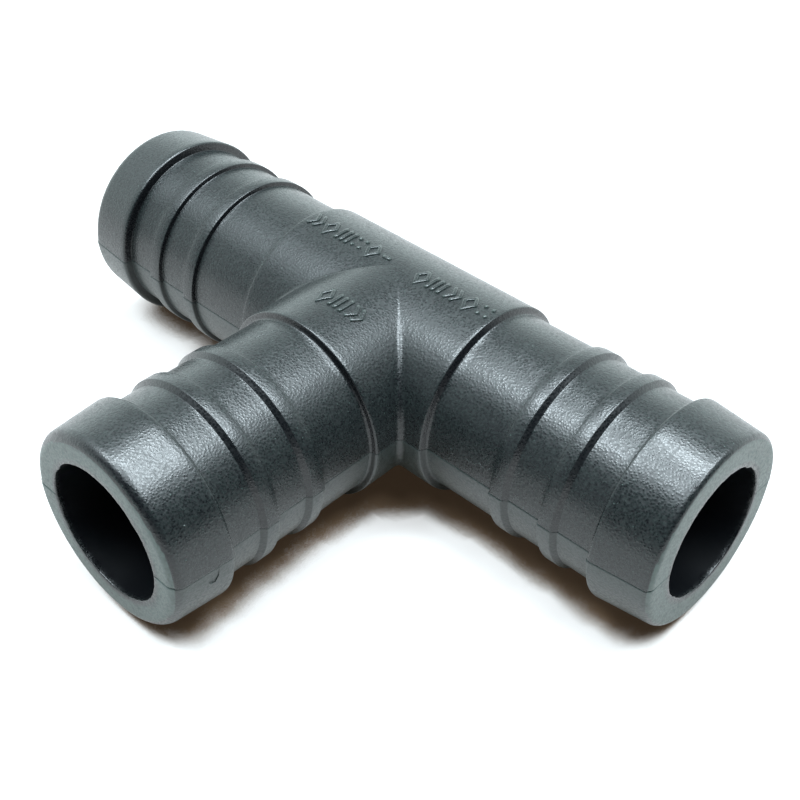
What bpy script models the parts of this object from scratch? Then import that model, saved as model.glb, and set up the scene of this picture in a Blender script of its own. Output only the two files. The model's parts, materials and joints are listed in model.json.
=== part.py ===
"""Barbed tee connector for 20 mm irrigation hose: one injection moulding in glass-filled nylon.

The run lies along X and the branch points along -Y. Each of the three arms carries a tapered end
collar and two narrow rings, which grip a hose pushed over it, and stops at a shoulder where the
thicker body begins. The three arms meet in mitre planes. The bores run right through and widen a
little towards the mouths, as the cores that form them are tapered.

Metres, +Z up. The part lies on its collars, and its origin is at the middle of its footprint.
"""

import math
from dataclasses import dataclass, replace

import bmesh
import bpy

MM = 0.001

# Radii shared by the three arms
BORE_RADIUS = 6.9 * MM  # where the bores cross
BODY_RADIUS = 10.75 * MM
ROOT_RADIUS = 10.0 * MM  # the nominal hose bore is 20 mm
RING_RADIUS = 10.5 * MM
COLLAR_RADIUS = 11.0 * MM

RING_WIDTH = 1.5 * MM
RING_SLOPE = 0.5 * MM  # the rings' faces towards the tip slope, so that a hose slides on
BORE_NECK = 9.0 * MM  # how far from the crossing the bores start to widen


@dataclass
class Arm:
    """One arm's own sizes. Lengths start where the axes cross; rears are measured back from the tip."""
    length: float
    shoulder: float
    shoulder_slope: float
    ring_rears: tuple
    collar_rear: float
    tip_radius: float
    tip_round: float
    mouth_radius: float


RUN_LEFT = Arm(
    length=41.0 * MM,
    shoulder=13.45 * MM,
    shoulder_slope=0.28 * MM,
    ring_rears=(18.65 * MM, 12.65 * MM),
    collar_rear=6.75 * MM,
    tip_radius=10.35 * MM,
    tip_round=1.2 * MM,
    mouth_radius=7.05 * MM,
)
RUN_RIGHT = replace(RUN_LEFT, collar_rear=6.55 * MM, tip_round=0.7 * MM)
BRANCH = Arm(
    length=39.6 * MM,
    shoulder=14.15 * MM,
    shoulder_slope=0.1 * MM,
    ring_rears=(18.45 * MM, 12.6 * MM),
    collar_rear=6.65 * MM,
    tip_radius=10.55 * MM,
    tip_round=1.3 * MM,
    mouth_radius=7.4 * MM,
)

# Small blends
BORE_CHAMFER = 0.25 * MM
EDGE_BREAK = 0.15 * MM
SHOULDER_FILLET = 0.3 * MM
CREASE_FILLET = 0.7 * MM

# Mesh fineness
SEGMENTS = 48  # round each arm
ROUND_STEPS = 4
CREASE_STEPS = 3
WELD_DISTANCE = 0.001 * MM

NYLON_COLOUR = (0.030, 0.033, 0.036, 1.0)
NYLON_ROUGHNESS = 0.42

# The middle of the footprint is the origin, so the axes cross above a point off the origin
CROSSING = (0.0, (BRANCH.length - COLLAR_RADIUS) / 2, COLLAR_RADIUS)


def clear_scene():
    for obj in list(bpy.data.objects):
        bpy.data.objects.remove(obj, do_unlink=True)


def step_up(place, high):
    """A steep face towards the body, from the root up to a broken edge."""
    return [(place, ROOT_RADIUS), (place + EDGE_BREAK / 2, high - EDGE_BREAK), (place + EDGE_BREAK, high)]


def step_down(place, high, slope, low):
    """A sloping face towards the tip, from a broken edge down."""
    return [(place - EDGE_BREAK, high), (place, high - EDGE_BREAK), (place + slope, low)]


def arm_profile(arm):
    """Outline of one arm as (distance along the arm, radius), from the body over the tip to the bore."""
    outline = step_down(arm.shoulder, BODY_RADIUS, arm.shoulder_slope, ROOT_RADIUS + SHOULDER_FILLET)
    outline.append((arm.shoulder + arm.shoulder_slope + SHOULDER_FILLET, ROOT_RADIUS))

    for rear in arm.ring_rears:
        start = arm.length - rear
        outline += step_up(start, RING_RADIUS)
        outline += step_down(start + RING_WIDTH, RING_RADIUS, RING_SLOPE, ROOT_RADIUS)

    outline += step_up(arm.length - arm.collar_rear, COLLAR_RADIUS)

    round_centre = (arm.length - arm.tip_round, arm.tip_radius - arm.tip_round)
    for step in range(ROUND_STEPS + 1):
        angle = math.radians(90 * step / ROUND_STEPS)
        outline.append((
            round_centre[0] + arm.tip_round * math.sin(angle),
            round_centre[1] + arm.tip_round * math.cos(angle),
        ))

    outline.append((arm.length, arm.mouth_radius + BORE_CHAMFER))
    outline.append((arm.length - BORE_CHAMFER, arm.mouth_radius))
    outline.append((BORE_NECK, BORE_RADIUS))
    return outline


def right_arm(along, radius, angle):
    return (along, -radius * math.cos(angle), radius * math.sin(angle))


def left_arm(along, radius, angle):
    return (-along, -radius * math.cos(angle), radius * math.sin(angle))


def branch(along, radius, angle):
    return (radius * math.cos(angle), -along, radius * math.sin(angle))


def mitre(reach, angle, is_branch):
    """How far from the crossing an arm's surface starts at an angle, for mitre planes at 45 degrees.

    The half of the run that faces away from the branch has no mitre, and starts at the crossing.
    """
    side = abs(math.cos(angle)) if is_branch else max(math.cos(angle), 0.0)
    return reach * side


def add_strip(bm, first, second, closed):
    """Faces between two rows of vertices of the same length."""
    count = len(first)
    for i in range(count if closed else count - 1):
        j = (i + 1) % count
        bm.faces.new((first[i], first[j], second[j], second[i]))


def add_arm(bm, place, arm):
    """One arm's whole skin, as rings from its outer mitre over the tip and back to its inner mitre."""
    is_branch = place is branch
    angles = [math.tau * i / SEGMENTS for i in range(SEGMENTS)]
    outer_reach = BODY_RADIUS + CREASE_FILLET
    rings = [[place(mitre(outer_reach, a, is_branch), BODY_RADIUS, a) for a in angles]]
    rings += [[place(along, radius, a) for a in angles] for along, radius in arm_profile(arm)]
    rings += [[place(mitre(BORE_RADIUS, a, is_branch), BORE_RADIUS, a) for a in angles]]

    rows = [[bm.verts.new(point) for point in ring] for ring in rings]
    for first, second in zip(rows, rows[1:]):
        add_strip(bm, first, second, closed=True)


def add_crease_fillet(bm, side):
    """The rolling-ball fillet between the branch and the run's arm on one side (+1 or -1).

    At each height the ball touches both equal cylinders, and its centre lies in the mitre plane.
    """
    rows = []
    for i in range(SEGMENTS // 2 + 1):
        angle = math.tau * i / SEGMENTS - math.pi / 2
        reach = (BODY_RADIUS + CREASE_FILLET) * math.cos(angle)
        height = (BODY_RADIUS + CREASE_FILLET) * math.sin(angle)
        to_run = (0.0, math.cos(angle), -math.sin(angle))
        to_branch = (-math.cos(angle), 0.0, -math.sin(angle))
        opening = math.acos(max(-1.0, min(1.0, math.sin(angle) ** 2)))
        row = []
        for step in range(CREASE_STEPS + 1):
            share = step / CREASE_STEPS
            if opening < math.radians(0.01):
                weights = (1.0 - share, share)
            else:
                weights = (
                    math.sin((1 - share) * opening) / math.sin(opening),
                    math.sin(share * opening) / math.sin(opening),
                )
            towards = [weights[0] * r + weights[1] * b for r, b in zip(to_run, to_branch)]
            row.append(bm.verts.new((
                side * (reach + CREASE_FILLET * towards[0]),
                -reach + CREASE_FILLET * towards[1],
                height + CREASE_FILLET * towards[2],
            )))
        rows.append(row)
    for first, second in zip(rows, rows[1:]):
        add_strip(bm, first, second, closed=False)


def nylon():
    material = bpy.data.materials.new("glass_filled_nylon")
    material.use_nodes = True
    shader = material.node_tree.nodes["Principled BSDF"]
    shader.inputs["Base Color"].default_value = NYLON_COLOUR
    shader.inputs["Roughness"].default_value = NYLON_ROUGHNESS
    shader.inputs["Metallic"].default_value = 0.0
    return material


def tee_body():
    bm = bmesh.new()
    add_arm(bm, right_arm, RUN_RIGHT)
    add_arm(bm, left_arm, RUN_LEFT)
    add_arm(bm, branch, BRANCH)
    add_crease_fillet(bm, +1)
    add_crease_fillet(bm, -1)
    bmesh.ops.remove_doubles(bm, verts=bm.verts, dist=WELD_DISTANCE)
    bmesh.ops.dissolve_degenerate(bm, edges=bm.edges, dist=WELD_DISTANCE)
    bmesh.ops.recalc_face_normals(bm, faces=bm.faces)

    mesh = bpy.data.meshes.new("tee_body")
    bm.to_mesh(mesh)
    bm.free()
    mesh.shade_smooth()
    mesh.set_sharp_from_angle(angle=math.radians(30))
    mesh.materials.append(nylon())

    body = bpy.data.objects.new("tee_body", mesh)
    body.location = CROSSING
    bpy.context.collection.objects.link(body)
    return body


clear_scene()
tee_body()
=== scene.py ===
"""Looks for the barbed tee connector.

One fine moulded skin replaces the CAD solid. It carries the mould's parting line, sinks and torn rims as
real shape, with raised signs and small beads on it, and one procedural nylon material. A pale floor, soft
studio lights and the camera follow. Arms are described by (along, radius, angle) from the crossing of the
run and the branch, with the angle taken from the parting plane.
"""

import json
import math
from collections.abc import Callable
from dataclasses import dataclass, replace

import bmesh
import bpy
import numpy as np
from mathutils import Matrix, Vector, noise


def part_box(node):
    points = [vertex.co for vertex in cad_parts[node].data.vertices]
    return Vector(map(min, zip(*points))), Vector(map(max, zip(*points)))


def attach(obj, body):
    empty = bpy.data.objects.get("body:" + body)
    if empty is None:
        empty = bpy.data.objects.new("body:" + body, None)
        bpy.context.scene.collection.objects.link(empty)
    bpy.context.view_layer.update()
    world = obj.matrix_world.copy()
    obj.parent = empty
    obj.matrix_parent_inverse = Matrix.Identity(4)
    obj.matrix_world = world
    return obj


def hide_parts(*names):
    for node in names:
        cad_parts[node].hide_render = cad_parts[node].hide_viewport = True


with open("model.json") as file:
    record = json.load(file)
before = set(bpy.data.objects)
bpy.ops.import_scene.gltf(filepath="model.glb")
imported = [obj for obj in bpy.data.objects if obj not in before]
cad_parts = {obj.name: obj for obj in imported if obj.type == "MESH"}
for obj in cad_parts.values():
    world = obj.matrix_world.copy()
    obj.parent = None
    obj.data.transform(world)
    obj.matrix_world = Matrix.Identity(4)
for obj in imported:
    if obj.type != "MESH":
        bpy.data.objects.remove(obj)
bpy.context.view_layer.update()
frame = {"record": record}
MM = 0.001

# ---- where the frame puts the tee -------------------------------------------------------------

mounts = {mount["name"]: mount for mount in frame["record"]["mounts"]}
body_low, body_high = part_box("tee_body")
COLLAR_RADIUS = (body_high.z - body_low.z) / 2
CROSSING = Vector((0.0, mounts["run_end_right"]["pos_m"][1], body_low.z + COLLAR_RADIUS))
RUN_LENGTH = mounts["run_end_right"]["pos_m"][0] - CROSSING.x
BRANCH_LENGTH = CROSSING.y - mounts["branch_end"]["pos_m"][1]

# ---- the moulding's sizes, as in the CAD ------------------------------------------------------

BORE_RADIUS = 6.9 * MM  # where the bores cross; each widens towards its mouth
BORE_NECK = 9.0 * MM  # how far from the crossing that widening starts
BODY_RADIUS = 10.75 * MM
ROOT_RADIUS = 10.0 * MM
RING_RADIUS = 10.5 * MM
RING_WIDTH = 1.5 * MM
CREASE_FILLET = 0.7 * MM  # between the branch and the run
RING_SLOPE = 0.5 * MM  # the rings' faces towards the tip slope, so that a hose slides on

# ---- small rounds and leans, finer than the CAD's ---------------------------------------------

FACE_LEAN = 0.06 * MM  # how far a steep face leans over its height
SHOULDER_ROUND = 0.2 * MM
SHOULDER_FOOT_ROUND = 0.3 * MM
RING_FOOT_ROUND = 0.08 * MM
RING_REAR_ROUND = 0.12 * MM
RING_FRONT_ROUND = 0.14 * MM
COLLAR_FOOT_ROUND = 0.1 * MM
COLLAR_REAR_ROUND = 0.28 * MM
MOUTH_ROUND = 0.14 * MM

# ---- fineness of the skin ---------------------------------------------------------------------

SEGMENTS = 216
PARTING_COLUMNS = (0.03, 0.07, 0.12, 0.19)  # millimetres above and below the parting plane
ARC_STEPS = 3  # the fewest faces round an edge
ARC_FACE = 0.15 * MM
CREASE_STEPS = 6
BODY_STEPS = 14  # along the body, from the mitre to the outline
BORE_STEPS = 8
OUTLINE_START = 0.6 * MM  # how far before the shoulder the outline starts
MOUTH_DEPTH = 1.0 * MM  # how deep the outline reaches into the bore
LONGEST_FACE = 0.7 * MM
WALL_MIDDLE = 7.65 * MM  # a radius between every bore and every outer face
WELD = 0.0005 * MM

# ---- what moulding leaves on the skin ---------------------------------------------------------

PARTING_DRAFT = 0.07 * MM  # the mould's halves make the skin this much wider at the parting plane
DRAFT_REACH = 1.2 * MM
LOWER_HALF_SHIFT = -0.07 * MM  # the lower mould half sat this far along X
LOWER_HALF_SWELL = 0.03 * MM
LOWER_HALF_TOP = -0.01 * MM  # just under the parting plane
GROOVE_DEPTH = 0.07 * MM  # where the halves meet
END_GROOVE_DEPTH = 0.22 * MM  # the same on the end faces
GROOVE_WIDTH = 0.06 * MM
FLASH_HEIGHT = 0.05 * MM
FLASH_PLACE = 0.10 * MM  # above the parting plane
FLASH_SIZE = 0.7 * MM  # of its ragged patches
SINK_DEPTH = 0.014 * MM
SINK_SIZE = 3.2 * MM
RIPPLE_DEPTH = 0.0035 * MM
RIPPLE_SIZE = 0.9 * MM
END_DEPTH = 0.3 * MM  # skin within this depth of an arm's end belongs to its end face
RIM_WIDTH = 0.25 * MM  # of the flash round each mouth, to either side of its edge
RIM_FLASH = 0.24 * MM
TEAR_SIZE = 1.3 * MM
NICK_SIZE = 0.4 * MM
TORN_RIM_SHADE_WIDTH = 0.6 * MM  # of the painted shade round each mouth, a dark band in the colour over its torn rim
TORN_RIM_SHADE_OFFSET = 0.4 * MM  # the painted shade round the branch's mouth is wider on its +X side
TORN_RIM_SHADE_FADE = 0.5 * MM
TORN_RIM_SHADE_PATCH_SIZE = 0.8 * MM

# ---- raised marks and small flaws -------------------------------------------------------------

MARK_HEIGHT = 0.19 * MM
MARK_STROKE = 0.46 * MM
MARK_SIZE = (1.65 * MM, 2.35 * MM)  # one sign's width and height
BEAD_FLATNESS = 0.6  # 1 is a half-round section; less is flatter on top
BEAD_SINK = 0.05 * MM  # how far a bead reaches into the skin
BEAD_STEPS = 6
BEAD_LENGTH = 0.4 * MM  # the longest stretch of a bead, so that it follows a round surface
SHARPEST_BEND = 2.0  # radians; a bead widens in its corners up to this bend


# ---- the outline of an arm --------------------------------------------------------------------

def rounded_outline(corners):
    """Points of an outline whose corners, given as (along, radius, round), are true arcs."""
    points = [Vector(corners[0][:2])]
    for before, here, after in zip(corners, corners[1:], corners[2:]):
        corner = Vector(here[:2])
        back = (Vector(before[:2]) - corner).normalized()
        ahead = (Vector(after[:2]) - corner).normalized()
        half_angle = back.angle(ahead) / 2
        round_radius = here[2]
        centre = corner + (back + ahead).normalized() * round_radius / math.sin(half_angle)
        start = corner + back * round_radius / math.tan(half_angle) - centre
        turn = math.pi - 2 * half_angle
        sense = math.copysign(1.0, back.x * ahead.y - back.y * ahead.x)
        steps = max(ARC_STEPS, math.ceil(turn * round_radius / ARC_FACE))
        for step in range(steps + 1):
            angle = -sense * turn * step / steps
            cosine, sine = math.cos(angle), math.sin(angle)
            turned = Vector((start.x * cosine - start.y * sine, start.x * sine + start.y * cosine))
            points.append(centre + turned)
    points.append(Vector(corners[-1][:2]))
    return points


def divided(points, longest):
    """The same line with every stretch cut into pieces no longer than the given length."""
    fine = [points[0]]
    for start, end in zip(points, points[1:]):
        cuts = max(1, math.ceil((end - start).length / longest))
        fine += [start.lerp(end, cut / cuts) for cut in range(1, cuts + 1)]
    return fine


def bore_radius(arm, along):
    """The bore's radius: even near the crossing, then widening evenly towards the mouth."""
    share = max(along - BORE_NECK, 0.0) / (arm.length - BORE_NECK)
    return BORE_RADIUS + (arm.mouth_radius - BORE_RADIUS) * share


def arm_outline(arm):
    """One arm from the body's surface over the tip and into the bore."""
    shoulder, length = arm.shoulder, arm.length
    corners = [
        (shoulder - OUTLINE_START, BODY_RADIUS),
        (shoulder, BODY_RADIUS, SHOULDER_ROUND),
        (shoulder + arm.shoulder_slope, ROOT_RADIUS, SHOULDER_FOOT_ROUND),
    ]
    for rear in arm.ring_rears:
        start = length - rear
        end = start + RING_WIDTH
        corners += [
            (start - FACE_LEAN, ROOT_RADIUS, RING_FOOT_ROUND),
            (start, RING_RADIUS, RING_REAR_ROUND),
            (end, RING_RADIUS, RING_FRONT_ROUND),
            (end + RING_SLOPE, ROOT_RADIUS, RING_FOOT_ROUND),
        ]
    rear = length - arm.collar_rear
    corners += [
        (rear - FACE_LEAN, ROOT_RADIUS, COLLAR_FOOT_ROUND),
        (rear, COLLAR_RADIUS, COLLAR_REAR_ROUND),
        (length, arm.tip_radius, arm.tip_round),
        (length, arm.mouth_radius, MOUTH_ROUND),
        (length - MOUTH_DEPTH, bore_radius(arm, length - MOUTH_DEPTH)),
    ]
    return divided(rounded_outline(corners), LONGEST_FACE)


# ---- the three arms ---------------------------------------------------------------------------

def right_arm(along, radius, angle):
    return Vector((along, -radius * math.cos(angle), radius * math.sin(angle)))


def left_arm(along, radius, angle):
    return Vector((-along, -radius * math.cos(angle), radius * math.sin(angle)))


def branch(along, radius, angle):
    return Vector((radius * math.cos(angle), -along, radius * math.sin(angle)))


@dataclass
class Arm:
    """One arm's own sizes; the rears of its rings and collar are measured back from its tip."""
    place: Callable
    length: float
    shoulder: float
    shoulder_slope: float
    ring_rears: tuple
    collar_rear: float
    tip_radius: float
    tip_round: float
    mouth_radius: float


RIGHT = Arm(
    place=right_arm, length=RUN_LENGTH, shoulder=13.45 * MM, shoulder_slope=0.28 * MM,
    ring_rears=(18.65 * MM, 12.65 * MM), collar_rear=6.55 * MM,
    tip_radius=10.35 * MM, tip_round=0.7 * MM, mouth_radius=7.05 * MM,
)
LEFT = replace(RIGHT, place=left_arm, collar_rear=6.75 * MM, tip_round=1.2 * MM)
BRANCH = Arm(
    place=branch, length=BRANCH_LENGTH, shoulder=14.15 * MM, shoulder_slope=0.1 * MM,
    ring_rears=(18.45 * MM, 12.6 * MM), collar_rear=6.65 * MM,
    tip_radius=10.55 * MM, tip_round=1.3 * MM, mouth_radius=7.4 * MM,
)
ARMS = (RIGHT, LEFT, BRANCH)


def column_angles():
    """Angles round an arm, the same seen from either side, with extra columns at the parting plane."""
    extras = [math.asin(height * MM / ROOT_RADIUS) for height in PARTING_COLUMNS]
    angles = {round(math.tau * i / SEGMENTS, 9) for i in range(SEGMENTS)}
    for extra in extras:
        for side in (0.0, math.pi):
            angles |= {round((side + extra) % math.tau, 9), round((side - extra) % math.tau, 9)}
    return sorted(angles)


ANGLES = column_angles()


def mitre(reach, angle, place):
    """How far from the crossing an arm's surface starts: 0 on the run's side away from the branch."""
    side = abs(math.cos(angle)) if place is branch else max(math.cos(angle), 0.0)
    return reach * side


def spread(start, end, cuts):
    """Even steps from start to end, with both ends."""
    return [start + (end - start) * cut / cuts for cut in range(cuts + 1)]


def add_strip(bm, first, second, closed):
    """Four-sided faces between two rows of points."""
    count = len(first)
    for i in range(count if closed else count - 1):
        j = (i + 1) % count
        bm.faces.new((first[i], first[j], second[j], second[i]))


def add_arm(bm, arm):
    """One arm's skin, column by column, from its outer mitre over the tip to its inner mitre."""
    place = arm.place
    outline = arm_outline(arm)
    outer_reach = BODY_RADIUS + CREASE_FILLET
    columns = []
    for angle in ANGLES:
        outer = spread(mitre(outer_reach, angle, place), outline[0].x, BODY_STEPS)[:-1]
        inner = spread(outline[-1].x, BORE_NECK, BORE_STEPS)[1:] + [mitre(BORE_RADIUS, angle, place)]
        column = [(along, BODY_RADIUS) for along in outer]
        column += [(point.x, point.y) for point in outline]
        column += [(along, bore_radius(arm, along)) for along in inner]
        columns.append([bm.verts.new(place(along, radius, angle)) for along, radius in column])
    for first, second in zip(columns, columns[1:] + columns[:1]):
        add_strip(bm, first, second, closed=False)


def add_crease(bm, side):
    """The rolling-ball fillet between branch and one run arm; the ball's centre is in the mitre plane."""
    rows = []
    reach_radius = BODY_RADIUS + CREASE_FILLET
    facing = [angle for angle in ANGLES if math.cos(angle) > -1e-9]
    facing.sort(key=lambda angle: math.sin(angle))
    for angle in facing:
        cosine, sine = max(math.cos(angle), 0.0), math.sin(angle)
        centre = Vector((side * reach_radius * cosine, -reach_radius * cosine, reach_radius * sine))
        to_run = Vector((0.0, cosine, -sine))
        to_branch = Vector((-side * cosine, 0.0, -sine))
        row = []
        for step in range(CREASE_STEPS + 1):
            share = step / CREASE_STEPS
            towards = to_run.slerp(to_branch, share, to_run) if cosine > 1e-4 else to_run
            row.append(bm.verts.new(centre + towards * CREASE_FILLET))
        rows.append(row)
    for first, second in zip(rows, rows[1:]):
        add_strip(bm, first, second, closed=False)


# ---- the moulded skin -------------------------------------------------------------------------

def smooth_noise(points, size, seed):
    """Noise from -1 to 1 at each point, with features of about the given size."""
    offset = Vector((seed, 2.7 * seed, -1.3 * seed))
    return np.array([noise.noise(Vector(point) / size + offset) for point in points])


def store(mesh, name, values):
    """Keeps one number per point on the mesh, for the material."""
    attribute = mesh.attributes.new(name, "FLOAT", "POINT")
    attribute.data.foreach_set("value", np.asarray(values, dtype=np.float32))


def points_and_normals(mesh):
    """A mesh's points and their normals, as two arrays with a row for each point."""
    arrays = []
    for name in ("co", "normal"):
        values = np.empty(len(mesh.vertices) * 3)
        mesh.vertices.foreach_get(name, values)
        arrays.append(values.reshape(-1, 3))
    return arrays


def parting_and_sinks(points, normals, outside, facing_end, lower):
    """Moves points to make the parting line with its flash, the lower half's misfit and the sinks."""
    height = points[:, 2]
    sideways = np.hypot(normals[:, 0], normals[:, 1])
    swell = PARTING_DRAFT * np.exp(-np.abs(height) / DRAFT_REACH) * ~facing_end
    depth = np.where(facing_end, END_GROOVE_DEPTH, GROOVE_DEPTH)
    groove = depth * np.exp(-((height / GROOVE_WIDTH) ** 2))
    ragged = np.clip(smooth_noise(points, FLASH_SIZE, 3.0), 0.0, 1.0)
    flash = FLASH_HEIGHT * ragged * np.exp(-(((height - FLASH_PLACE) / (0.6 * FLASH_PLACE)) ** 2))
    sink = SINK_DEPTH * smooth_noise(points, SINK_SIZE, 5.0)
    sink += RIPPLE_DEPTH * smooth_noise(points, RIPPLE_SIZE, 9.0)
    out = (swell + LOWER_HALF_SWELL * lower) * sideways - groove + flash * sideways
    points += normals * (np.where(outside, out, 0.0) + sink)[:, None]
    points[:, 0] += LOWER_HALF_SHIFT * (lower & outside)


def tear_rims(points, rim, on_branch):
    """Moves the mouths' edges in and out, as torn flash does."""
    tear = np.clip(smooth_noise(points, TEAR_SIZE, 21.0) - 0.15, 0.0, 1.0)
    tear += 0.25 * smooth_noise(points, NICK_SIZE, 33.0)
    to_run_axis = points * (0.0, -1.0, -1.0)
    to_branch_axis = points * (-1.0, 0.0, -1.0)
    inward = np.where(on_branch[:, None], to_branch_axis, to_run_axis) * rim[:, None]
    points += inward / BORE_RADIUS * RIM_FLASH * tear[:, None]


def weather(mesh):
    """Moves the skin's points by the small amounts that moulding left and stores the material's zones."""
    points, normals = points_and_normals(mesh)
    from_run_axis = np.hypot(points[:, 1], points[:, 2])
    from_branch_axis = np.where(points[:, 1] < 0, np.hypot(points[:, 0], points[:, 2]), np.inf)
    from_axis = np.minimum(from_run_axis, from_branch_axis)
    outside = from_axis > WALL_MIDDLE
    lower = points[:, 2] < LOWER_HALF_TOP
    branch_end = points[:, 1] < -BRANCH_LENGTH + END_DEPTH
    facing_end = (np.abs(points[:, 0]) > RUN_LENGTH - END_DEPTH) | branch_end

    parting_and_sinks(points, normals, outside, facing_end, lower)
    on_branch = points[:, 1] < -RUN_LENGTH / 2
    mouth = np.where(on_branch, BRANCH.mouth_radius, RIGHT.mouth_radius)
    tear_rims(points, facing_end & (np.abs(from_axis - mouth) < RIM_WIDTH), on_branch)
    mesh.vertices.foreach_set("co", points.ravel())
    mesh.update()

    facing_side = np.abs(normals[:, 2]) < 0.25
    along_arm = np.where(from_branch_axis < from_run_axis, normals[:, 1], normals[:, 0])
    # painted shade: faces that face along an arm are darkened in colour, half as much on the lower half
    steep = np.clip(np.abs(along_arm) * 2.0 - 0.5, 0.0, 1.0)
    # painted shade: a dark band in the colour round each mouth, wider on the branch's +X side and patchy
    lopsided = np.where(on_branch, points[:, 0] / from_axis, 0.0)
    rim_shade_reach = mouth + TORN_RIM_SHADE_WIDTH + TORN_RIM_SHADE_OFFSET * lopsided - from_axis
    patchy = np.clip(0.9 + smooth_noise(points, TORN_RIM_SHADE_PATCH_SIZE, 41.0), 0.0, 1.0)
    rim_shade = np.clip(rim_shade_reach / TORN_RIM_SHADE_FADE, 0.0, 1.0) * patchy
    store(mesh, "lower_half", lower & outside & ~facing_end)
    store(mesh, "end_face", facing_end & facing_side & outside)
    # the material darkens the bores' colour to near black, as painted shade
    store(mesh, "bore", ~(outside | facing_end))
    store(mesh, "shaded_face", np.where(facing_end, rim_shade, steep * np.where(lower, 0.5, 1.0)))


def moulded_skin():
    """The three arms and the two creases between them, welded into one closed skin."""
    bm = bmesh.new()
    for arm in ARMS:
        add_arm(bm, arm)
    add_crease(bm, +1)
    add_crease(bm, -1)
    bmesh.ops.remove_doubles(bm, verts=bm.verts, dist=WELD)
    bmesh.ops.dissolve_degenerate(bm, edges=bm.edges, dist=WELD)
    bmesh.ops.recalc_face_normals(bm, faces=bm.faces)
    mesh = bpy.data.meshes.new("tee_skin")
    bm.to_mesh(mesh)
    bm.free()
    weather(mesh)
    mesh.transform(Matrix.Translation(CROSSING))
    mesh.shade_smooth()
    skin = bpy.data.objects.new("tee_skin", mesh)
    bpy.context.collection.objects.link(skin)
    return skin


# ---- beads: the raised marks and the traces of handling ---------------------------------------

def add_bead(bm, points, onto, width, height):
    """Sweeps a low rounded bead along flat points; onto(point, up) puts a flat point on the skin."""
    path = divided([Vector(point) for point in points], BEAD_LENGTH)
    rings = []
    for before, here, after in zip(path[:1] + path, path, path[1:] + path[-1:]):
        ahead = (after - before).normalized()
        across = Vector((-ahead.y, ahead.x))
        into, out = here - before, after - here
        bend = into.angle(out) if into.length and out.length else 0.0
        wide = width / 2 / math.cos(min(bend, SHARPEST_BEND) / 2)
        section = [onto(here - across * wide, -BEAD_SINK)]
        for step in range(BEAD_STEPS + 1):
            turn = math.pi * step / BEAD_STEPS
            rise = height * math.sin(turn) ** BEAD_FLATNESS
            section.append(onto(here - across * wide * math.cos(turn), rise))
        section.append(onto(here + across * wide, -BEAD_SINK))
        rings.append([bm.verts.new(point) for point in section])
    bm.faces.new(rings[0])
    bm.faces.new(reversed(rings[-1]))
    for first, second in zip(rings, rings[1:]):
        add_strip(bm, second, first, closed=True)


SIGNS = {  # generic signs, each a few strokes in a box that is 1 wide and 1 high
    "diamond": [[(0.0, 0.5), (0.425, 0.0), (0.0, -0.5), (-0.425, 0.0), (0.0, 0.5)]],
    "chevrons": [[(x - 0.18, 0.45), (x + 0.18, 0.0), (x - 0.18, -0.45)] for x in (-0.22, 0.28)],
    "tally": [[(x, -0.45), (x, 0.45)] for x in (-0.45, 0.0, 0.45)],
    "pips": [[(x - 0.08, y), (x + 0.08, y)] for x in (-0.3, 0.3) for y in (-0.3, 0.3)],
    "dash": [[(-0.3, 0.0), (0.3, 0.0)]],
}
RUN_SIGNS = {  # each sign's place along the run in millimetres
    -12.1: "chevrons", -10.0: "diamond", -7.7: "tally", -5.6: "pips", -3.6: "diamond", -1.6: "dash",
    3.5: "diamond", 5.6: "tally", 7.9: "chevrons", 10.0: "diamond", 12.1: "pips",
}
BRANCH_SIGNS = {-1.5: "diamond", 0.6: "tally", 2.8: "chevrons"}  # across the branch
BRANCH_SIGNS_ALONG = 8.9 * MM  # from the crossing
RUN_SIGNS_LIFT = 0.1 * MM  # of the row's middle from the top line, away from the branch


def run_surface(point, up):
    """A flat point (x along the run, y over its top) on the run's body."""
    return right_arm(point.x, BODY_RADIUS + up, math.pi / 2 + point.y / BODY_RADIUS)


def branch_surface(point, up):
    """A flat point (x across the branch, y towards the run) on the branch's body."""
    return branch(BRANCH_SIGNS_ALONG - point.y, BODY_RADIUS + up, math.pi / 2 - point.x / BODY_RADIUS)


def mesh_piece(name, bm):
    """Turns a mesh built round the crossing into a smooth object in its place."""
    bmesh.ops.recalc_face_normals(bm, faces=bm.faces)
    bm.transform(Matrix.Translation(CROSSING))
    mesh = bpy.data.meshes.new(name)
    bm.to_mesh(mesh)
    bm.free()
    mesh.shade_smooth()
    piece = bpy.data.objects.new(name, mesh)
    bpy.context.collection.objects.link(piece)
    return piece


def raised_signs(name, signs, onto, lift):
    """A row of generic raised signs; signs gives each one's place along the row in millimetres."""
    bm = bmesh.new()
    for place, sign in signs.items():
        for stroke in SIGNS[sign]:
            points = [(place * MM + x * MARK_SIZE[0], lift + y * MARK_SIZE[1]) for x, y in stroke]
            add_bead(bm, points, onto, MARK_STROKE, MARK_HEIGHT)
    return mesh_piece(name, bm)


ROOT = ROOT_RADIUS / MM
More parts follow.
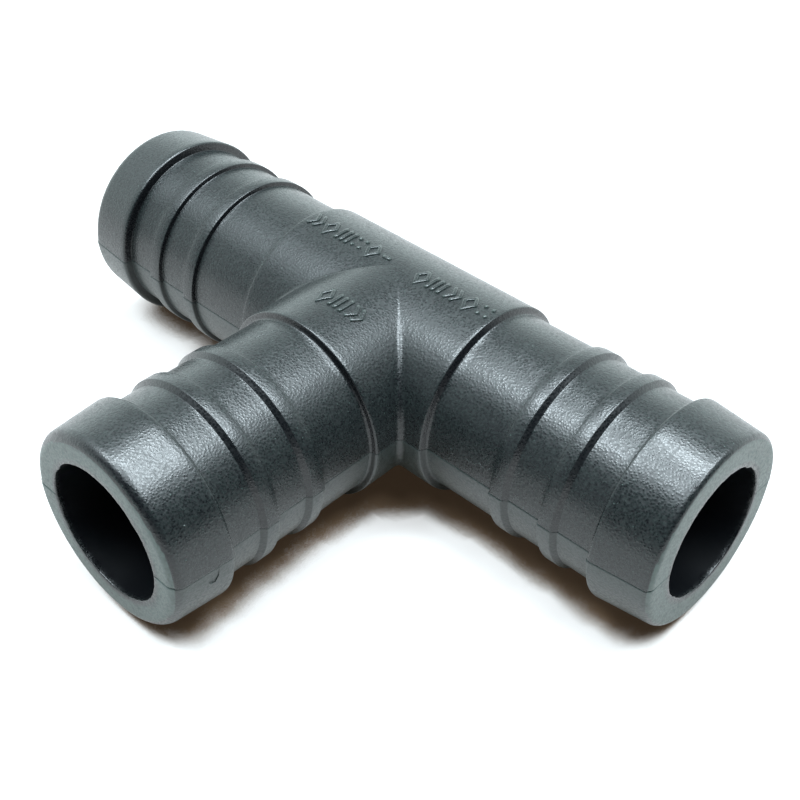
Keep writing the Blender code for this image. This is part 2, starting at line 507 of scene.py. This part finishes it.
# each trace: arm, radius of the surface under it, width and height in millimetres, and its points in
# millimetres from the crossing and degrees round from the parting plane
TRACES = (
    # a flaw on the branch's collar, from the parting line down
    (branch, 10.91, 0.10, 0.02, [(34.9, 0.3), (34.75, -0.6), (34.85, -5.5), (35.3, -9.6), (35.9, -8.2)]),
    # thin squiggles on the roots
    (branch, ROOT, 0.12, 0.025, [(17.95, 103.4), (16.9, 102.0), (15.9, 99.9), (15.4, 94.5), (15.23, 88.9)]),
    (right_arm, ROOT, 0.11, 0.03,
     [(18.4, 8.3), (18.7, 9.4), (19.6, 9.2), (20.3, 11.9), (21.2, 10.6), (21.7, 12.8)]),
    (right_arm, ROOT, 0.11, 0.03, [(16.8, 10.6), (16.7, 8.6), (17.1, 7.4)]),
    (left_arm, ROOT, 0.10, 0.03, [(27.1, 101.0), (26.2, 100.6), (25.5, 98.1)]),
    # short scratches at the rear of the right arm's collar, mostly below its surface
    (right_arm, 10.62, 0.16, 0.03, [(35.9, 60.2), (35.3, 61.4), (34.4, 62.4)]),
    (right_arm, 10.66, 0.14, 0.02, [(34.9, 63.8), (34.1, 65.2)]),
    # specks on the collars
    (branch, 10.76, 0.16, 0.06, [(36.65, 30.8), (36.8, 31.3)]),
    (branch, 10.72, 0.14, 0.06, [(37.75, 15.0), (37.9, 15.3)]),
    (right_arm, 10.86, 0.14, 0.05, [(35.35, 35.8), (35.45, 36.3)]),
)


def on_arm(place, radius):
    """Puts (along, round) points, in metres along the arm and round it from the parting plane, on an arm."""
    return lambda point, up: place(point.x, radius + up, point.y / radius)


def traces():
    """Small beads and specks left by moulding and handling."""
    bm = bmesh.new()
    for place, radius, width, height, points in TRACES:
        radius *= MM
        flat = [(along * MM, math.radians(angle) * radius) for along, angle in points]
        add_bead(bm, flat, on_arm(place, radius), width * MM, height * MM)
    return mesh_piece("moulding_traces", bm)


# ---- the nylon --------------------------------------------------------------------------------

def node(tree, kind, **settings):
    """A new shader node; a setting is an input's value, or one of the node's own properties."""
    made = tree.nodes.new("ShaderNode" + kind)
    for name, value in settings.items():
        socket = name.replace("_", " ").title()
        if socket in made.inputs:
            made.inputs[socket].default_value = value
        else:
            setattr(made, name, value)
    return made


def between(tree, value, low, high):
    """The value, taken from 0..1 to low..high and held there."""
    mapped = node(tree, "MapRange", to_min=low, to_max=high)
    tree.links.new(value, mapped.inputs["Value"])
    return mapped.outputs["Result"]


def maths(tree, operation, first, second):
    """A maths node; each side is a number or another node's output."""
    made = node(tree, "Math", operation=operation)
    for socket, value in zip(made.inputs, (first, second)):
        if isinstance(value, (int, float)):
            socket.default_value = value
        else:
            tree.links.new(value, socket)
    return made.outputs["Value"]


def total(tree, value, shares):
    """The value plus each (zone, share), a zone's strength times its share."""
    for zone, share in shares:
        value = maths(tree, "ADD", value, maths(tree, "MULTIPLY", zone, share))
    return value


def nylon():
    """Matt black glass-filled nylon: a fine sparkling grain, a duller lower half, edges worn smoother and
    painted paler as a highlight, painted light on the end faces and painted shade in the bores, on steep
    faces and round the mouths.
    """
    material = bpy.data.materials.new("glass_filled_nylon_skin")
    material.use_nodes = True
    tree = material.node_tree
    shader = tree.nodes["Principled BSDF"]
    place = node(tree, "TexCoord").outputs["Object"]

    def texture(kind, output, **settings):
        made = node(tree, kind, **settings)
        tree.links.new(place, made.inputs["Vector"])
        return made.outputs[output]

    def stored(name):
        return node(tree, "Attribute", attribute_name=name).outputs["Fac"]

    # a texture's scale is the number of its features in a metre
    grain = texture("TexNoise", "Fac", scale=4300.0, detail=2.0, roughness=0.6)
    cells = texture("TexVoronoi", "Distance", scale=3900.0)
    pores = texture("TexNoise", "Fac", scale=1500.0, detail=3.0, roughness=0.6)
    clouds = texture("TexNoise", "Fac", scale=240.0, detail=4.0, roughness=0.6)
    dust = texture("TexVoronoi", "Distance", scale=900.0)
    zones = ("lower_half", "end_face", "bore", "shaded_face", "edge_wear_and_highlight")
    lower, end_face, bore, shaded_face, edge_wear_and_highlight = (stored(name) for name in zones)
    smooth = maths(tree, "MAXIMUM", maths(tree, "MULTIPLY", end_face, 0.75), bore)
    grained = maths(tree, "SUBTRACT", 1.0, smooth)

    light_spots = node(tree, "MapRange", from_min=0.07, from_max=0.03)
    tree.links.new(dust, light_spots.inputs["Value"])
    spots = light_spots.outputs["Result"]
    tone = maths(tree, "MULTIPLY", between(tree, grain, -1.0, 2.2), between(tree, clouds, 0.10, 0.23))
    # painted light: the end faces are made paler in colour, mottled by the pores noise
    mottled_end_light = maths(tree, "MULTIPLY", end_face, between(tree, pores, -0.2, 2.1))
    # a painted highlight: sharp edges are made paler in colour
    tone = total(tree, tone, ((lower, 0.24), (mottled_end_light, 1.0), (edge_wear_and_highlight, 0.35), (spots, 0.8)))
    # painted shade: the bores, the steep faces and the band round each mouth are darkened in colour
    for painted_shade_zone in (bore, shaded_face):
        tone = maths(tree, "MULTIPLY", tone, between(tree, painted_shade_zone, 1.0, 0.0))
    colour = node(tree, "ValToRGB")
    colour.color_ramp.elements[0].color = (0.003, 0.0035, 0.0045, 1.0)
    colour.color_ramp.elements[1].color = (0.057, 0.080, 0.073, 1.0)
    tree.links.new(tone, colour.inputs["Fac"])
    tree.links.new(colour.outputs["Color"], shader.inputs["Base Color"])

    rough = maths(tree, "ADD", between(tree, cells, 0.16, 0.46), between(tree, clouds, -0.04, 0.04))
    rough = maths(tree, "MULTIPLY", rough, between(tree, bore, 1.0, 0.0))
    rough = total(tree, rough, ((lower, 0.08), (end_face, 0.15), (bore, 0.28), (edge_wear_and_highlight, -0.08)))
    tree.links.new(rough, shader.inputs["Roughness"])

    relief = total(tree, maths(tree, "MULTIPLY", cells, -0.32), ((grain, 0.20), (pores, 0.25)))
    relief = maths(tree, "MULTIPLY", relief, between(tree, grained, 0.03, 1.0))
    bump = node(tree, "Bump", strength=1.0, distance=0.05 * MM)
    tree.links.new(relief, bump.inputs["Height"])
    tree.links.new(bump.outputs["Normal"], shader.inputs["Normal"])
    return material


def add_edge_wear_and_highlight(mesh):
    """Stores how sharply each point stands out, which the material turns into edges worn smoother with a
    painted highlight on them.
    """
    points, normals = points_and_normals(mesh)
    ends = np.empty(len(mesh.edges) * 2, dtype=int)
    mesh.edges.foreach_get("vertices", ends)
    ends = ends.reshape(-1, 2)
    convexity = np.zeros(len(points))
    for here, there in (ends.T, ends.T[::-1]):
        step = points[here] - points[there]
        steepness = (step * normals[here]).sum(axis=1) / np.linalg.norm(step, axis=1)
        np.maximum.at(convexity, here, steepness)
    store(mesh, "edge_wear_and_highlight", np.clip((convexity - 0.12) / 0.4, 0.0, 1.0))


# ---- the floor --------------------------------------------------------------------------------

FLOOR_GLOW = 0.5
SHADE_REACH = 6.0 * MM  # the tee shades the floor only within this distance
SHADE_LEAN = math.radians(50.0)  # the shade lies towards the middle between branch and right arm
SHADE_MIDDLE = (CROSSING.x + 42.0 * MM, CROSSING.y - 42.0 * MM, 0.0)
SHADE_CHANGES = (  # from and to these distances from the middle, openness changes by these amounts
    (34.0 * MM, 46.0 * MM, 0.03, -0.045),
    (58.0 * MM, 78.0 * MM, 0.0, 0.08),
)


def ramp(tree, value, *stops):
    """A colour for the value, from (position, colour) stops."""
    made = node(tree, "ValToRGB")
    for element, (position, colour) in zip(made.color_ramp.elements, stops):
        element.position = position
        element.color = (*colour, 1.0)
    tree.links.new(value, made.inputs["Fac"])
    return made.outputs["Color"]


def floor_openness(tree):
    """How open each place of the floor is, which is least where the tee nearly touches it."""
    occlusion = node(tree, "AmbientOcclusion", distance=SHADE_REACH, samples=16)
    outward = node(tree, "VectorMath", operation="SUBTRACT")
    outward.inputs[1].default_value = SHADE_MIDDLE
    tree.links.new(node(tree, "TexCoord").outputs["Object"], outward.inputs[0])
    level = node(tree, "VectorMath", operation="NORMALIZE")
    tree.links.new(outward.outputs["Vector"], level.inputs[0])
    lean = node(tree, "VectorMath", operation="MULTIPLY_ADD")
    lean.inputs[1].default_value = [math.cos(SHADE_LEAN)] * 3
    lean.inputs[2].default_value = (0.0, 0.0, math.sin(SHADE_LEAN))
    tree.links.new(level.outputs["Vector"], lean.inputs[0])
    tree.links.new(lean.outputs["Vector"], occlusion.inputs["Normal"])
    distance = node(tree, "VectorMath", operation="LENGTH")
    tree.links.new(outward.outputs["Vector"], distance.inputs[0])
    openness = occlusion.outputs["AO"]
    for near, far, at_near, at_far in SHADE_CHANGES:
        fading = node(tree, "MapRange", from_min=near, from_max=far, to_min=at_near, to_max=at_far)
        tree.links.new(distance.outputs["Value"], fading.inputs["Value"])
        openness = maths(tree, "ADD", openness, fading.outputs["Result"])
    return openness


def floor():
    """A plain pale floor that glows softly, with a warm brown shade where the tee nearly touches it."""
    bpy.ops.mesh.primitive_plane_add(size=2.0, location=(0, 0, body_low.z))
    plane = bpy.context.object
    plane.name = "floor"
    material = bpy.data.materials.new("floor_pale")
    material.use_nodes = True
    tree = material.node_tree
    shader = tree.nodes["Principled BSDF"]
    shader.inputs["Roughness"].default_value = 0.8
    shader.inputs["Specular IOR Level"].default_value = 0.2
    shader.inputs["Emission Strength"].default_value = FLOOR_GLOW
    openness = floor_openness(tree)
    tint = ramp(tree, openness, (0.42, (0.15, 0.095, 0.058)), (0.47, (0.38, 0.37, 0.36)))
    glow = ramp(tree, openness, (0.445, (0.050, 0.033, 0.020)), (0.485, (1.0, 1.0, 1.0)))
    tree.links.new(tint, shader.inputs["Base Color"])
    tree.links.new(glow, shader.inputs["Emission Color"])
    plane.data.materials.append(material)


# ---- light and camera -------------------------------------------------------------------------

CAMERA_AZIMUTH = math.radians(43.0)
CAMERA_ELEVATION = math.radians(40.4)
CAMERA_ROLL = math.radians(0.70)
CAMERA_DISTANCE = 141.1 * MM
CAMERA_OFFSET = (0.46 * MM, -6.0 * MM)  # right and up of the crossing
CAMERA_LENS = 57.6  # millimetres
CAMERA_SENSOR = 36.0  # millimetres wide

SOFTBOX_DISTANCE = 2.5  # metres from the crossing
SOFTBOX_COLOUR = (0.86, 0.98, 1.05)
SOFTBOXES = {  # azimuth, elevation and half angle in degrees, and radiance
    "softbox_right": (90.0, 64.0, 9.0, 20.0),
    "softbox_right_high": (75.0, 75.0, 9.0, 14.0),
    "softbox_left": (-90.0, 66.0, 9.0, 27.0),
    "softbox_top": (0.0, 78.0, 9.0, 33.0),
    "softbox_back_right": (140.0, 68.0, 9.0, 17.0),
    "softbox_back_left": (-140.0, 68.0, 9.0, 10.0),
    "halo_right": (85.0, 60.0, 22.0, 1.8),
    "halo_left": (-75.0, 60.0, 22.0, 2.2),
    "fill_left": (-105.0, 18.0, 18.0, 0.5),
}
BACKDROP_COLOUR = (0.86, 0.99, 1.0, 1.0)
BACKDROP_RADIANCE = 2.5  # near the horizon
BACKDROP_OVERHEAD = 0.5
BACKDROP_SEEN = 1.3  # bright enough to look white, like the floor


def direction(azimuth, elevation):
    """Unit vector; azimuth in degrees to the right of the camera's line of sight, seen from above."""
    turn = CAMERA_AZIMUTH - math.radians(azimuth)
    rise = math.radians(elevation)
    return Vector((-math.sin(turn) * math.cos(rise), math.cos(turn) * math.cos(rise), math.sin(rise)))


def softbox(name, azimuth, elevation, half_angle, radiance):
    """A far round light of even brightness, as wide as the half angle as seen from the tee."""
    radius = SOFTBOX_DISTANCE * math.tan(math.radians(half_angle))
    data = bpy.data.lights.new(name, "AREA")
    data.shape = "DISK"
    data.size = 2 * radius
    data.energy = radiance * math.pi * math.pi * radius**2
    data.color = SOFTBOX_COLOUR
    light = bpy.data.objects.new(name, data)
    light.location = CROSSING + direction(azimuth, elevation) * SOFTBOX_DISTANCE
    light.rotation_euler = direction(azimuth, elevation).to_track_quat("Z", "Y").to_euler()
    light.visible_camera = False
    bpy.context.collection.objects.link(light)


def studio_world():
    """Bright backdrop behind the tee, dark on the camera's side; camera rays see it white all round."""
    world = bpy.data.worlds.new("studio")
    world.use_nodes = True
    tree = world.node_tree
    background = tree.nodes["Background"]
    background.inputs["Color"].default_value = BACKDROP_COLOUR
    ray = node(tree, "TexCoord").outputs["Generated"]
    behind = node(tree, "VectorMath", operation="DOT_PRODUCT")
    behind.inputs[1].default_value = direction(0.0, 0.0)
    tree.links.new(ray, behind.inputs[0])
    parts = node(tree, "SeparateXYZ")
    tree.links.new(ray, parts.inputs["Vector"])
    sideways = node(tree, "MapRange", from_min=-0.25, from_max=0.35, interpolation_type="SMOOTHSTEP")
    tree.links.new(behind.outputs["Value"], sideways.inputs["Value"])
    low = node(tree, "MapRange", from_min=0.9, from_max=0.1, interpolation_type="SMOOTHSTEP")
    low.inputs["To Min"].default_value = BACKDROP_OVERHEAD
    low.inputs["To Max"].default_value = BACKDROP_RADIANCE
    tree.links.new(parts.outputs["Z"], low.inputs["Value"])
    glow = maths(tree, "MULTIPLY", sideways.outputs["Result"], low.outputs["Result"])
    seen = maths(tree, "MULTIPLY", node(tree, "LightPath").outputs["Is Camera Ray"], BACKDROP_SEEN)
    tree.links.new(maths(tree, "MAXIMUM", glow, seen), background.inputs["Strength"])
    bpy.context.scene.world = world


def camera():
    """Looks at the crossing from the front right and above, moved and rolled a little."""
    azimuth, elevation = CAMERA_AZIMUTH, CAMERA_ELEVATION
    back = Vector((
        math.sin(azimuth) * math.cos(elevation),
        -math.cos(azimuth) * math.cos(elevation),
        math.sin(elevation),
    ))
    right = Vector((math.cos(azimuth), math.sin(azimuth), 0.0))
    up = back.cross(right)
    place = CROSSING + back * CAMERA_DISTANCE + right * CAMERA_OFFSET[0] + up * CAMERA_OFFSET[1]
    rolled_right = right * math.cos(CAMERA_ROLL) + up * math.sin(CAMERA_ROLL)
    rolled_up = back.cross(rolled_right)
    data = bpy.data.cameras.new("camera")
    data.lens = CAMERA_LENS
    data.sensor_width = CAMERA_SENSOR
    data.clip_start = 0.005
    cam = bpy.data.objects.new("camera", data)
    turned = Matrix((rolled_right, rolled_up, back)).transposed().to_4x4()
    cam.matrix_world = Matrix.Translation(place) @ turned
    bpy.context.collection.objects.link(cam)
    bpy.context.scene.camera = cam


# ---- the pieces in the frame ------------------------------------------------------------------

skin = moulded_skin()
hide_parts("tee_body")
pieces = [
    skin,
    raised_signs("run_signs", RUN_SIGNS, run_surface, RUN_SIGNS_LIFT),
    raised_signs("branch_signs", BRANCH_SIGNS, branch_surface, 0.0),
    traces(),
]
material = nylon()
for piece in pieces:
    add_edge_wear_and_highlight(piece.data)
    piece.data.materials.append(material)
    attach(piece, "root")
floor()
for name, settings in SOFTBOXES.items():
    softbox(name, *settings)
studio_world()
camera()
bpy.context.scene.view_settings.view_transform = "Standard"
